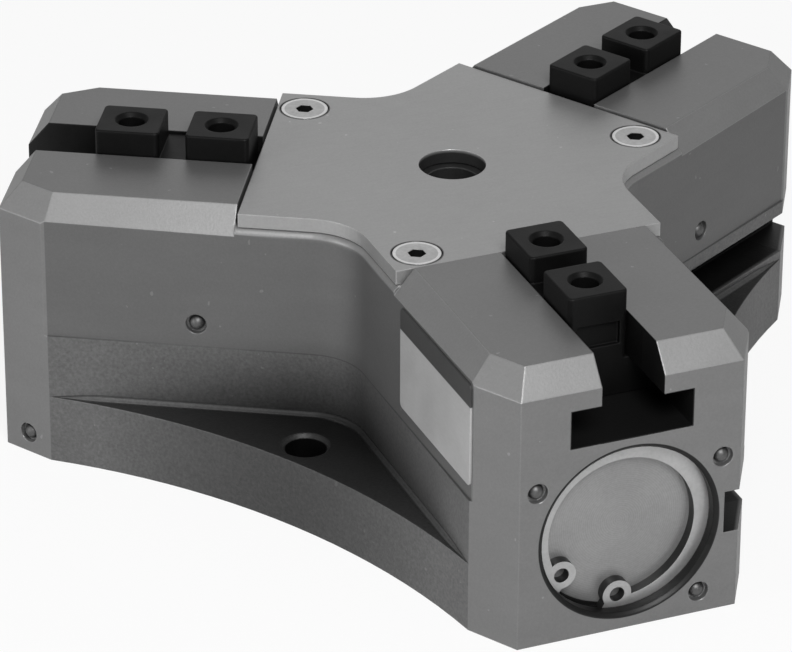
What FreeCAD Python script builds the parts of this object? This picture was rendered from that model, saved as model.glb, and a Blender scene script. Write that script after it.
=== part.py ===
# Three-jaw air chuck: a three-armed casting whose cylinders drive sliding jaws.
# Millimetres, +Z up, origin on the base face at the chuck's centre line.
# Arm a points to -Y, arm b to the rear left and arm c to the rear right.
# Each arm has its own frame: along it outward, to its left side, and up with Z.

import FreeCAD, Part

import math
import os
import re

import Sketcher
from FreeCAD import Placement, Rotation, Vector

ARM_ANGLES = {"a": -90.0, "b": 150.0, "c": 30.0}
CHUCK = None

# Tilts of a piece in its arm's frame.
# FACING lays a piece's X to the side, its Y up and its Z along the arm.
UPRIGHT = Rotation()
FACING = Rotation(Vector(1, 1, 1), 120)

SIZES = {
    # Casting
    "arm_width": 45.0,
    "lip_thickness": 7.2,
    "floor_thickness": 1.8,
    "corner_along": 8.0,
    "corner_side": 4.6,
    "chamfer_out": 3.4,
    "chamfer_down": 4.1,
    "inner_corner_radius": 10.0,
    "shoulder_radius": 1.5,
    "seat_reach": 31.0,
    "relief_start": 22.0,
    "relief_bottom": 22.3,
    "relief_slope": 0.45,
    # Mounting webs between the arms
    "web_thickness": 11.5,
    "web_rim": 2.0,
    "mount_hole_reach": 37.0,
    "mount_hole_radius": 3.3,
    "mount_hole_chamfer": 0.6,
    "locating_radius": 12.0,
    "locating_depth": 2.5,
    # Cylinders and their end caps
    "bore_radius": 12.5,
    "bore_start": 12.5,
    "cap_step": 1.5,
    "cap_clearance": 0.05,
    "cap_thickness": 4.5,
    "cap_seal_radius": 0.8,
    "cap_seal_play": 0.1,
    "cap_seal_slack": 0.02,
    "mouth_chamfer": 0.5,
    "ring_sink": 2.2,
    "ring_thickness": 1.7,
    "ring_play": 0.1,
    "ring_groove_depth": 0.7,
    "ring_band": 2.1,
    "ring_shift": 0.6,
    "lug_radius": 2.35,
    "lug_hole_radius": 1.2,
    "lug_inset": 2.1,
    "lug_half_angle": 26.5,
    # Slides and jaws
    "roof_thickness": 3.6,
    "tee_height": 6.2,
    "tee_half_width": 9.8,
    "neck_half_width": 5.0,
    "tee_clearance": 0.1,
    "neck_clearance": 0.25,
    "stroke": 10.0,
    "boss_gap": 0.6,
    "boss_length": 10.2,
    "boss_pitch": 14.4,
    "boss_rise": 4.0,
    "boss_corner_radius": 0.8,
    "boss_edge_radius": 0.3,
    "bridge_drop": 0.4,
    "jaw_tail": 22.7,
    "jaw_hole_radius": 2.1,
    "jaw_hole_depth": 9.0,
    "jaw_hole_bevel": 0.6,
    "nose_recess_half_width": 3.5,
    "nose_recess_depth": 0.8,
    "nose_recess_drop": 1.0,
    "nose_recess_height": 3.8,
    "nose_margin": 2.8,
    # Pistons and what drives the jaws
    "piston_clearance": 0.08,
    "piston_gap": 0.55,
    "seal_inset": 2.0,
    "seal_width": 2.0,
    "seal_depth": 1.8,
    "band_inset": 6.0,
    "band_width": 3.0,
    "band_depth": 1.2,
    "magnet_inset": 10.5,
    "magnet_width": 3.0,
    "magnet_depth": 2.6,
    "groove_play": 0.1,
    "pin_radius": 3.0,
    "pin_fit": 0.02,
    "pin_drop": 6.0,
    "pin_engagement": 5.2,
    "pin_slot_clearance": 0.3,
    # Racks and pinion under the cover
    "tooth_module": 1.0,
    "tooth_count": 18.0,
    "backlash": 0.12,
    "rack_backing": 4.0,
    "rack_heel_gap": 2.2,
    "rack_gaps": 7.0,
    "foot_length": 4.0,
    "foot_side": 6.5,
    "foot_inset": 0.4,
    "foot_gap": 1.04,
    "gear_lift": 0.8,
    "gear_drop": 0.4,
    "lane_clearance": 0.3,
    "rack_screw_side": 3.0,
    "rack_screw_radius": 1.5,
    "rack_screw_length": 7.0,
    "rack_screw_head_radius": 2.25,
    "rack_screw_head_depth": 2.0,
    "head_clearance": 0.1,
    "hub_radius": 6.0,
    "hub_clearance": 0.05,
    "hub_gap": 0.2,
    "hub_bore_radius": 4.0,
    "bush_radius": 8.0,
    "bush_length": 4.4,
    "bush_gap": 0.6,
    "through_radius": 4.5,
    "pocket_clearance": 1.5,
    # Cover and its screws
    "cover_drop": 0.3,
    "cover_thickness": 2.3,
    "cover_gap": 0.5,
    "cover_inset": 0.6,
    "cover_hole_radius": 5.3,
    "cover_boss_clearance": 1.0,
    "screw_end_inset": 4.9,
    "screw_side_inset": 5.8,
    "screw_radius": 2.0,
    "screw_length": 10.0,
    "screw_head_radius": 3.75,
    "screw_head_rim": 0.5,
    "screw_rim_gap": 0.2,
    "screw_end_gap": 1.0,
    "screw_head_depth": 2.0,
    "screw_key": 1.45,
    "screw_key_depth": 1.5,
    # Switch grooves, air ways and ports
    "switch_wall": 0.8,
    "switch_height": 7.0,
    "switch_start": 27.0,
    "plug_radius": 1.25,
    "plug_mouth_radius": 1.65,
    "plug_mouth_depth": 1.0,
    "plug_sink": 1.1,
    "upper_way_rise": 9.7,
    "upper_way_inset": 7.5,
    "upper_way_end": 30.0,
    "lower_way_up": 3.6,
    "lower_way_side": 11.7,
    "lower_way_end": 18.0,
    "cross_way_along": 37.2,
    "corner_plug_up": 3.4,
    "corner_plug_depth": 4.0,
    "port_radius": 2.1,
    "port_depth": 6.5,
    "inner_port_along": 32.0,
    "outer_port_along": 48.0,
}

PRESSURE_ANGLE = 20.0
RING_OPEN_ANGLE = -120.0
OVERCUT = 1.0
RELIEF_CUT = 3.0
NEAR = 0.001

doc = FreeCAD.newDocument("air_chuck")
sheet = doc.addObject("Spreadsheet::Sheet", "sizes")
for row, (alias, value) in enumerate(SIZES.items(), start=1):
    sheet.set(f"A{row}", alias.replace("_", " "))
    sheet.set(f"B{row}", str(value))
    sheet.setAlias(f"B{row}", alias)
doc.recompute()

# Lengths that follow from the sheet.
DERIVED = {
    # Casting
    "half_width": "arm_width / 2",
    "arm_reach": "jaw_nose + stroke + nose_margin",
    "arm_height": "tee_floor + tee_height + lip_thickness",
    "seat_up": "arm_height - cover_drop - cover_thickness",
    "chamfer_up": "arm_height - chamfer_down",
    "corner_length": "sqrt(corner_along^2 + corner_side^2)",
    "web_reach": "mount_hole_reach + mount_hole_radius + web_rim",
    # Cylinders, caps and rings
    "cap_seat_radius": "bore_radius + cap_step",
    "groove_radius": "cap_seat_radius + ring_groove_depth",
    "bore_up": "groove_radius + floor_thickness",
    "ring_outer": "groove_radius - ring_play",
    "ring_inner_radius": "cap_seat_radius - ring_band",
    "lug_reach": "cap_seat_radius - lug_inset",
    "cap_front": "arm_reach - ring_sink - ring_thickness",
    "cap_back": "cap_front - cap_thickness",
    # Slides, jaws and pistons
    "tee_floor": "bore_up + bore_radius + roof_thickness",
    "boss_start": "seat_reach + boss_gap",
    "boss_top": "arm_height + boss_rise",
    "jaw_nose": "boss_start + boss_pitch + boss_length",
    "nose_recess_bottom": "arm_height - nose_recess_drop - nose_recess_height",
    "piston_start": "bore_start + piston_gap",
    "piston_length": "cap_back - stroke - piston_start - piston_gap",
    "piston_radius": "bore_radius - piston_clearance",
    "pin_along": "piston_start + piston_length / 2",
    # Racks, pinion and bushes
    "pitch_radius": "tooth_module * tooth_count / 2",
    "tooth_pitch": f"{math.pi} * tooth_module",
    "rack_addendum": "0.9 * tooth_module",
    "rack_dedendum": "1.2 * tooth_module",
    "gear_floor": "tee_floor + gear_lift",
    "gear_thickness": "tee_height - gear_lift - gear_drop",
    "gear_mid": "gear_floor + gear_thickness / 2",
    "rack_front": "pitch_radius - rack_addendum",
    "rack_back": "pitch_radius + rack_backing",
    "foot_start": "jaw_tail - foot_length",
    "rack_heel": "jaw_tail - rack_heel_gap",
    "rack_overrun": "2 * (foot_start - foot_gap - rack_back * sin(60))",
    "pocket_radius": "pitch_radius + tooth_module + pocket_clearance",
    "lower_bush_up": "gear_floor - hub_gap - bush_length",
    "upper_bush_up": "gear_floor + gear_thickness + bush_gap",
    "upper_bush_length": "seat_up - upper_bush_up",
    # Cover, switch grooves and air ways
    "cover_boss_radius": "pocket_radius - cover_boss_clearance",
    "screw_along": "seat_reach - screw_end_inset",
    "screw_side": "half_width - screw_side_inset",
    "switch_floor": "groove_radius + switch_wall",
    "upper_way_up": "bore_up + upper_way_rise",
    "upper_way_side": "half_width - upper_way_inset",
    "corner_plug_along": "arm_reach - corner_along / 2",
    "corner_plug_side": "half_width - corner_side / 2",
}


def linked(text):
    """Turn the names in an expression into references to the sheet."""
    def reference(match):
        name = match[0]
        if name in DERIVED:
            return f"({linked(DERIVED[name])})"
        return f"sizes.{name}" if name in SIZES else name

    return re.sub(r"[a-z]+(_[a-z]+)*", reference, str(text))


def number(text):
    """The value of an expression as a plain number."""
    value = sheet.evalExpression(linked(text))
    return float(getattr(value, "Value", value))


def bind(item, **expressions):
    """Bind an object's properties to expressions on the sheet."""
    for name, text in expressions.items():
        item.setExpression(name, linked(text))
    return item


def put(item, arm, along, side, up, tilt=UPRIGHT):
    """Place an object in its arm's frame, or in the chuck's own frame."""
    angle = ARM_ANGLES.get(arm, 0.0)
    item.Placement = Placement(Vector(), Rotation(Vector(0, 0, 1), angle) * tilt)
    item.setExpression(".Placement.Base.x", linked(f"({along}) * cos({angle}) - ({side}) * sin({angle})"))
    item.setExpression(".Placement.Base.y", linked(f"({along}) * sin({angle}) + ({side}) * cos({angle})"))
    item.setExpression(".Placement.Base.z", linked(up))
    return item


# Primitives and booleans

def cylinder(name, radius, height):
    return bind(doc.addObject("Part::Cylinder", name), Radius=radius, Height=height)


def cone(name, bottom, top, height):
    return bind(doc.addObject("Part::Cone", name), Radius1=bottom, Radius2=top, Height=height)


def block(name, length, width, height):
    return bind(doc.addObject("Part::Box", name), Length=length, Width=width, Height=height)


def hexagon(name, radius, height):
    prism = doc.addObject("Part::Prism", name)
    prism.Polygon = 6
    return bind(prism, Circumradius=radius, Height=height)


def cut(name, base, tool):
    result = doc.addObject("Part::Cut", name)
    result.Base = base
    result.Tool = tool
    return result


def fuse(name, *pieces):
    result = doc.addObject("Part::MultiFuse", name)
    result.Shapes = list(pieces)
    return result


def box_tool(name, arm, along, side, up, length, width, height, tilt=UPRIGHT):
    return put(block(name, length, width, height), arm, along, side, up, tilt)


def rod_tool(name, arm, along, side, up, radius, depth, tilt=UPRIGHT):
    return put(cylinder(name, radius, depth), arm, along, side, up, tilt)


def cone_tool(name, arm, along, side, up, start, end, depth, tilt=UPRIGHT):
    return put(cone(name, start, end, depth), arm, along, side, up, tilt)


def together(name, pieces):
    """Several like solids, still separate, under one name."""
    result = doc.addObject("Part::Compound", name)
    result.Links = list(pieces)
    return result


# Bodies, sketches and features

def origin_item(body, role):
    return next(item for item in body.Origin.OriginFeatures if item.Role == role)


def new_body(name):
    return doc.addObject("PartDesign::Body", name)


def new_sketch(body, name, role, offset="0"):
    sketch = body.newObject("Sketcher::SketchObject", name)
    sketch.AttachmentSupport = (origin_item(body, role), "")
    sketch.MapMode = "FlatFace"
    sketch.setExpression(".AttachmentOffset.Base.z", linked(offset))
    return sketch


def fix_point(sketch, line, x, y):
    """Hold the start of a line at an x and a y from the sheet."""
    for kind, text in (("DistanceX", x), ("DistanceY", y)):
        index = sketch.addConstraint(Sketcher.Constraint(kind, line, 1, number(text)))
        sketch.setExpression(f"Constraints[{index}]", linked(text))


def outline(sketch, points):
    """A closed outline of straight lines through points given as expressions."""
    places = [Vector(number(x), number(y), 0) for x, y in points]
    following = [(i + 1) % len(places) for i in range(len(places))]
    for i, place in enumerate(places):
        sketch.addGeometry(Part.LineSegment(place, places[following[i]]), False)
    for i, after in enumerate(following):
        sketch.addConstraint(Sketcher.Constraint("Coincident", i, 2, after, 1))
    for i, (x, y) in enumerate(points):
        fix_point(sketch, i, x, y)
    return sketch


def profile_feature(body, name, kind, sketch):
    feature = body.newObject(f"PartDesign::{kind}", name)
    feature.Profile = sketch
    return feature


def pad(body, name, sketch, length):
    return bind(profile_feature(body, name, "Pad", sketch), Length=length)


def pocket_up(body, name, sketch, length):
    """A pocket that cuts upward, or outward, from its sketch."""
    feature = profile_feature(body, name, "Pocket", sketch)
    feature.Reversed = True
    return bind(feature, Length=length)


def turn(body, name, sketch, axis="H_Axis"):
    feature = profile_feature(body, name, "Revolution", sketch)
    feature.ReferenceAxis = (sketch, [axis])
    feature.Angle = 360.0
    return feature


def add_box(body, name, arm, along, side, up, length, width, height):
    item = body.newObject("PartDesign::AdditiveBox", name)
    return put(bind(item, Length=length, Width=width, Height=height), arm, along, side, up)


def cut_box(body, name, arm, along, side, up, length, width, height, tilt=UPRIGHT):
    item = body.newObject("PartDesign::SubtractiveBox", name)
    return put(bind(item, Length=length, Width=width, Height=height), arm, along, side, up, tilt)


def drill(body, name, arm, along, side, up, radius, depth, tilt=UPRIGHT):
    item = body.newObject("PartDesign::SubtractiveCylinder", name)
    return put(bind(item, Radius=radius, Height=depth), arm, along, side, up, tilt)


def bevel(body, name, arm, along, side, up, start, end, depth, tilt=UPRIGHT):
    item = body.newObject("PartDesign::SubtractiveCone", name)
    return put(bind(item, Radius1=start, Radius2=end, Height=depth), arm, along, side, up, tilt)


def polar(body, name, features, count="3"):
    pattern = body.newObject("PartDesign::PolarPattern", name)
    pattern.Originals = features
    pattern.Axis = (origin_item(body, "Z_Axis"), [""])
    pattern.Angle = 360.0
    bind(pattern, Occurrences=count)
    body.Tip = pattern
    return pattern


def round_edges(body, name, radius, test):
    """Fillet the edges of the body's tip that pass a test."""
    doc.recompute()
    base = body.Tip
    chosen = [f"Edge{i}" for i, edge in enumerate(base.Shape.Edges, start=1) if test(edge)]
    feature = body.newObject("PartDesign::Fillet", name)
    feature.Base = (base, chosen)
    bind(feature, Radius=radius)
    body.Tip = feature
    return feature


def edge_reach(edge):
    """Distance of an edge's middle from the chuck's centre line."""
    middle = edge.valueAt((edge.FirstParameter + edge.LastParameter) / 2)
    return math.hypot(middle.x, middle.y)


def is_vertical(edge):
    return edge.BoundBox.XLength < NEAR and edge.BoundBox.YLength < NEAR


def is_level(edge, height):
    return abs(edge.BoundBox.ZMin - height) < NEAR and abs(edge.BoundBox.ZMax - height) < NEAR


# Casting

def make_casting():
    blank = new_body("casting_blank")
    cast_core(blank)
    cast_arm_blocks(blank)
    cast_webs(blank)
    tools = centre_tools() + side_way_tools()
    for arm in ARM_ANGLES:
        tools += slide_tools(arm) + relief_tools(arm) + cylinder_tools(arm) + end_way_tools(arm)
        tools += mount_tools(arm)
    return cut("body_casting", blank, fuse("casting_cuts", *tools))


def cast_core(body):
    """The centre under the cover, with hollow corners between the arms and rounded shoulders."""
    corners = [("-half_width", "0"), ("-half_width", "-seat_reach"), ("half_width", "-seat_reach"),
               ("half_width", "0")]
    arm_outline = outline(new_sketch(body, "arm_outline", "XY_Plane"), corners)
    polar(body, "arms", [pad(body, "arm", arm_outline, "seat_up")])

    corner_reach = number("half_width") / math.cos(math.radians(30))
    round_edges(body, "inner_corners", "inner_corner_radius",
                lambda edge: is_vertical(edge) and abs(edge_reach(edge) - corner_reach) < NEAR)
    seat_reach = number("seat_reach")
    round_edges(body, "shoulders", "shoulder_radius",
                lambda edge: is_level(edge, number("seat_up")) and abs(edge_reach(edge) - seat_reach) > NEAR)


def block_points(inset):
    """Outline of the block on arm a, moved inward by an inset on its outer sides."""
    shift_along = f"{inset} * (corner_length - corner_along) / corner_side"
    shift_side = f"{inset} * (corner_length - corner_side) / corner_along"
    side = f"(half_width - {inset})"
    corner = f"(corner_along + {shift_along} - arm_reach)"
    end_side = f"(half_width - corner_side - {shift_side})"
    end = f"({inset} - arm_reach)"
    right = [(side, "-seat_reach"), (side, corner), (end_side, end)]
    left = [(f"-{x}", y) for x, y in reversed(right)]
    return right + left


def cast_arm_blocks(body):
    """Beyond the cover each arm rises to full height with chamfered top edges."""
    foot = outline(new_sketch(body, "block_outline", "XY_Plane"), block_points("0"))
    block_feature = pad(body, "arm_block", foot, "chamfer_up")
    lower = outline(new_sketch(body, "chamfer_foot", "XY_Plane", "chamfer_up"), block_points("0"))
    upper = outline(new_sketch(body, "chamfer_top", "XY_Plane", "arm_height"), block_points("chamfer_out"))
    top = profile_feature(body, "block_top", "AdditiveLoft", lower)
    top.Sections = [upper]
    top.Ruled = True
    polar(body, "arm_blocks", [block_feature, top])


def cast_webs(body):
    """A mounting web at the foot of each pair of arms."""
    web = pad(body, "web", web_outline(body), "web_thickness")
    polar(body, "webs", [web])


def web_outline(body):
    """The web between the rear arms: a wedge whose free edge is an arc from corner to corner."""
    corner_x = "((arm_reach - corner_along) * cos(30) - half_width * sin(30))"
    corner_y = "((arm_reach - corner_along) * sin(30) + half_width * cos(30))"
    rise = f"({corner_y} - web_reach)"
    right = Vector(number(corner_x), number(corner_y), 0)
    left = Vector(-right.x, right.y, 0)
    sketch = new_sketch(body, "web_outline", "XY_Plane")
    sketch.addGeometry(Part.LineSegment(Vector(0, 0, 0), right), False)
    sketch.addGeometry(Part.LineSegment(left, Vector(0, 0, 0)), False)
    sketch.addGeometry(Part.Arc(left, Vector(0, number("web_reach"), 0), right), False)
    sketch.addConstraint(Sketcher.Constraint("Coincident", 0, 1, 1, 2))
    sketch.addConstraint(Sketcher.Constraint("Coincident", 2, 1, 1, 1))
    sketch.addConstraint(Sketcher.Constraint("Coincident", 2, 2, 0, 2))
    sketch.addConstraint(Sketcher.Constraint("Coincident", 0, 1, -1, 1))
    for line, end, x in ((0, 2, corner_x), (1, 1, f"-{corner_x}")):
        for kind, text in (("DistanceX", x), ("DistanceY", corner_y)):
            index = sketch.addConstraint(Sketcher.Constraint(kind, line, end, number(text)))
            sketch.setExpression(f"Constraints[{index}]", linked(text))
    radius = f"({corner_x}^2 + {rise}^2) / (2 * {rise})"
    index = sketch.addConstraint(Sketcher.Constraint("Radius", 2, number(radius)))
    sketch.setExpression(f"Constraints[{index}]", linked(radius))
    return sketch


def mount_tools(arm):
    """The web hole opposite an arm, and its bevelled mouth."""
    place = (arm, "0 - mount_hole_reach", "0")
    return [
        rod_tool(f"mount_hole_{arm}", *place, f"-{OVERCUT}", "mount_hole_radius",
                 f"web_thickness + 2 * {OVERCUT}"),
        cone_tool(f"mount_mouth_{arm}", *place, "web_thickness - mount_hole_chamfer", "mount_hole_radius",
                  "mount_hole_radius + mount_hole_chamfer", "mount_hole_chamfer"),
    ]


def slide_tools(arm):
    """T-slot of the jaw, lane of the rack and slot of the drive pin."""
    length = f"arm_reach + {OVERCUT}"
    lane_start = "(0 - rack_overrun - lane_clearance)"
    lane_front = "(rack_front - lane_clearance)"
    slot_half = "(pin_radius + pin_slot_clearance)"
    slot_height = f"tee_floor + {OVERCUT} - bore_up"
    return [
        box_tool(f"tee_slot_{arm}", arm, "0", "0 - tee_half_width", "tee_floor", length,
                 "2 * tee_half_width",
                 "tee_height"),
        box_tool(f"neck_slot_{arm}", arm, "0", "0 - neck_half_width", "tee_floor", length,
                 "2 * neck_half_width",
                 f"arm_height + {OVERCUT} - tee_floor"),
        box_tool(f"rack_lane_{arm}", arm, lane_start, lane_front, "tee_floor",
                 f"rack_heel + stroke + lane_clearance - {lane_start}",
                 f"rack_back + lane_clearance - {lane_front}", f"seat_up + {OVERCUT} - tee_floor"),
        box_tool(f"pin_slot_{arm}", arm, "pin_along", f"0 - {slot_half}", "bore_up", "stroke",
                 f"2 * {slot_half}",
                 slot_height),
        rod_tool(f"pin_slot_near_{arm}", arm, "pin_along", "0", "bore_up", slot_half, slot_height),
        rod_tool(f"pin_slot_far_{arm}", arm, "pin_along + stroke", "0", "bore_up", slot_half, slot_height),
    ]


def relief_tools(arm):
    """Side faces are milled slightly deeper toward the arm's end."""
    length = f"arm_reach - corner_along + {OVERCUT} - relief_start"
    height = f"arm_height + {OVERCUT} - relief_bottom"
    slope = SIZES["relief_slope"]
    left = Rotation(Vector(0, 0, 1), -slope)
    right = Rotation(Vector(0, 0, 1), slope)
    right_along = f"relief_start + {RELIEF_CUT} * sin(relief_slope)"
    right_side = f"0 - half_width - {RELIEF_CUT} * cos(relief_slope)"
    return [
        box_tool(f"relief_left_{arm}", arm, "relief_start", "half_width", "relief_bottom", length,
                 RELIEF_CUT, height, left),
        box_tool(f"relief_right_{arm}", arm, right_along, right_side, "relief_bottom", length, RELIEF_CUT,
                 height,
                 right),
    ]


def cylinder_tools(arm):
    """Stepped bore: cylinder, cap seat, ring groove and bevelled mouth."""
    return [
        rod_tool(f"cylinder_bore_{arm}", arm, "bore_start", "0", "bore_up", "bore_radius",
                 "arm_reach - bore_start",
                 FACING),
        rod_tool(f"cap_seat_{arm}", arm, "cap_back", "0", "bore_up", "cap_seat_radius",
                 f"arm_reach + {OVERCUT} - cap_back", FACING),
        rod_tool(f"ring_groove_{arm}", arm, "cap_front", "0", "bore_up", "groove_radius",
                 "ring_thickness + ring_play", FACING),
        cone_tool(f"bore_mouth_{arm}", arm, "arm_reach - mouth_chamfer", "0", "bore_up", "cap_seat_radius",
                  "cap_seat_radius + mouth_chamfer", "mouth_chamfer", FACING),
        rod_tool(f"screw_thread_{arm}", arm, "screw_along", "0 - screw_side", "seat_up - screw_length",
                 "screw_radius", f"screw_length + {OVERCUT}"),
    ]


def centre_tools():
    """Locating recess, through hole, bush seat and pinion pocket, and the two switch grooves."""
    centre = (CHUCK, "0", "0")
    tools = [
        rod_tool("locating_recess", *centre, f"-{OVERCUT}", "locating_radius",
                 f"locating_depth + {OVERCUT}"),
        rod_tool("through_hole", *centre, "0", "through_radius", "arm_height"),
        rod_tool("bush_seat", *centre, "lower_bush_up", "bush_radius", "arm_height - lower_bush_up"),
        rod_tool("pinion_pocket", *centre, "tee_floor", "pocket_radius", "arm_height - tee_floor"),
    ]
    for arm, side in (("a", "switch_floor"), ("c", f"0 - half_width - {OVERCUT}")):
        tools.append(box_tool(f"switch_groove_{arm}", arm, "switch_start", side,
                              "bore_up - switch_height / 2",
                              f"arm_reach + {OVERCUT} - switch_start",
                              f"half_width + {OVERCUT} - switch_floor",
                              "switch_height"))
    return tools


def plug_tools(name, arm, along, side, up, tilt, depth, direction):
    """An air way with a wider mouth for its ball; direction points out of the metal."""
    out_along, out_side = direction
    way = rod_tool(f"{name}_way_{arm}", arm, f"{along} - {out_along} * ({depth})",
                   f"{side} - {out_side} * ({depth})", up, "plug_radius", f"{depth} + {OVERCUT}", tilt)
    mouth = rod_tool(f"{name}_mouth_{arm}", arm, f"{along} - {out_along} * plug_mouth_depth",
                     f"{side} - {out_side} * plug_mouth_depth", up, "plug_mouth_radius",
                     f"plug_mouth_depth + {OVERCUT}", tilt)
    return [way, mouth]


def end_way_tools(arm):
    tools = []
    for name, side, up, end in END_PLUGS:
        tools += plug_tools(name, arm, "arm_reach", side, up, FACING, f"arm_reach - {end}", (1, 0))
    return tools


def side_way_tools():
    """Cross drillings of arms b and c, the corner drilling and the two air ports of arm b."""
    tools = []
    for arm, sign in CROSS_PLUGS:
        tools += plug_tools("cross", arm, "cross_way_along", f"{sign} * half_width", "upper_way_up",
                            Rotation(Vector(1, 0, 0), -90 * sign), "half_width - upper_way_side", (0, sign))
    tools += plug_tools("corner", "b", "corner_plug_along", "corner_plug_side", "corner_plug_up",
                        corner_tilt(),
                        "corner_plug_depth", corner_direction())
    for name, along in (("inner", "inner_port_along"), ("outer", "outer_port_along")):
        tools.append(rod_tool(f"{name}_port", "b", along, "port_depth - half_width", "upper_way_up",
                              "port_radius",
                              f"port_depth + {OVERCUT}", Rotation(Vector(1, 0, 0), 90)))
    return tools


# Ball plugs: three in each arm's end face, one across arms b and c, one in a corner of arm b.
END_PLUGS = (
    ("upper_left", "upper_way_side", "upper_way_up", "upper_way_end"),
    ("upper_right", "0 - upper_way_side", "upper_way_up", "upper_way_end"),
    ("lower", "lower_way_side", "lower_way_up", "lower_way_end"),
)
CROSS_PLUGS = (("b", 1), ("c", -1))


def corner_direction():
    """Outward direction of the bevelled corner on an arm's left side."""
    length = number("corner_length")
    return number("corner_side") / length, number("corner_along") / length


def corner_tilt():
    out_along, out_side = corner_direction()
    return Rotation(Vector(0, 0, 1), Vector(out_along, out_side, 0))


def make_ball_plugs():
    places = []
    for arm in ARM_ANGLES:
        for name, side, up, _ in END_PLUGS:
            places.append((f"{name}_plug_{arm}", arm, "arm_reach - plug_sink", side, up))
    for arm, sign in CROSS_PLUGS:
        places.append((f"cross_plug_{arm}", arm, "cross_way_along", f"{sign} * (half_width - plug_sink)",
                       "upper_way_up"))
    out_along, out_side = corner_direction()
    places.append(("corner_plug", "b", f"corner_plug_along - {out_along} * plug_sink",
                   f"corner_plug_side - {out_side} * plug_sink", "corner_plug_up"))
    balls = []
    for name, *place in places:
        ball = bind(doc.addObject("Part::Sphere", name), Radius="plug_radius")
        balls.append(put(ball, *place))
    return together("ball_plugs", balls)


# Cover plate, its screws and the bushes

def make_cover():
    body = new_body("cover_plate")
    side = "(half_width - cover_inset)"
    end = "(cover_gap - seat_reach)"
    arm_outline = outline(new_sketch(body, "cover_outline", "XY_Plane", "seat_up"),
                          [(f"-{side}", "0"), (f"-{side}", end), (side, end), (side, "0")])
    polar(body, "cover_arms", [pad(body, "cover_arm", arm_outline, "cover_thickness")])
    corner_reach = number(side) / math.cos(math.radians(30))
    round_edges(body, "cover_corners", "inner_corner_radius + cover_inset",
                lambda edge: is_vertical(edge) and abs(edge_reach(edge) - corner_reach) < NEAR)
    boss = body.newObject("PartDesign::AdditiveCylinder", "bush_boss")
    put(bind(boss, Radius="cover_boss_radius", Height="upper_bush_length"), CHUCK, "0", "0", "upper_bush_up")
    drill(body, "bush_hole", CHUCK, "0", "0", "upper_bush_up", "bush_radius", "upper_bush_length")
    drill(body, "centre_hole", CHUCK, "0", "0", "upper_bush_up", "cover_hole_radius", "arm_height")
    top = "(seat_up + cover_thickness)"
    place = ("a", "screw_along", "-screw_side")
    sink = bevel(body, "screw_sink", *place, f"{top} - screw_head_depth", "screw_radius",
                 "screw_head_radius",
                 "screw_head_depth - screw_head_rim")
    rim = drill(body, "screw_rim", *place, f"{top} - screw_head_rim", "screw_head_radius + screw_rim_gap",
                OVERCUT)
    hole = drill(body, "screw_hole", *place, f"seat_up - {OVERCUT}", "screw_radius",
                 f"cover_thickness + {OVERCUT}")
    polar(body, "screw_holes", [sink, rim, hole])
    return body


def make_cover_screws():
    screws = []
    top = "(seat_up + cover_thickness)"
    cone_foot = f"({top} - screw_head_depth)"
    for arm in ARM_ANGLES:
        place = (arm, "screw_along", "-screw_side")
        head = put(cone(f"head_cone_{arm}", "screw_radius", "screw_head_radius",
                        "screw_head_depth - screw_head_rim"), *place, cone_foot)
        rim = put(cylinder(f"head_rim_{arm}", "screw_head_radius", "screw_head_rim"), *place,
                  f"{top} - screw_head_rim")
        shank_length = f"({cone_foot} - seat_up + screw_length - screw_end_gap)"
        shank = put(cylinder(f"shank_{arm}", "screw_radius", shank_length), *place,
                    f"{cone_foot} - {shank_length}")
        key = put(hexagon(f"key_{arm}", "screw_key", "screw_key_depth"), *place, f"{top} - screw_key_depth")
        screws.append(cut(f"cover_screw_{arm}", fuse(f"screw_blank_{arm}", head, rim, shank), key))
    return together("cover_screws", screws)


def make_bush(name, up, length):
    place = (CHUCK, "0", "0", up)
    outer = put(cylinder(f"{name}_blank", "bush_radius", length), *place)
    inner = put(cylinder(f"{name}_bore", "hub_radius + hub_clearance", length), *place)
    return cut(name, outer, inner)


# Pinion

def involute_flank(base_radius, outer_radius, half_angle, steps=5):
    """Points of one flank, root to tip, around a tooth centred on +X."""
    points = []
    for i in range(steps):
        radius = base_radius + (outer_radius - base_radius) * i / (steps - 1)
        roll = math.sqrt(max((radius / base_radius) ** 2 - 1, 0))
        angle = half_angle - (roll - math.atan(roll))
        points.append(Vector(radius * math.cos(angle), radius * math.sin(angle), 0))
    return points


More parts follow.
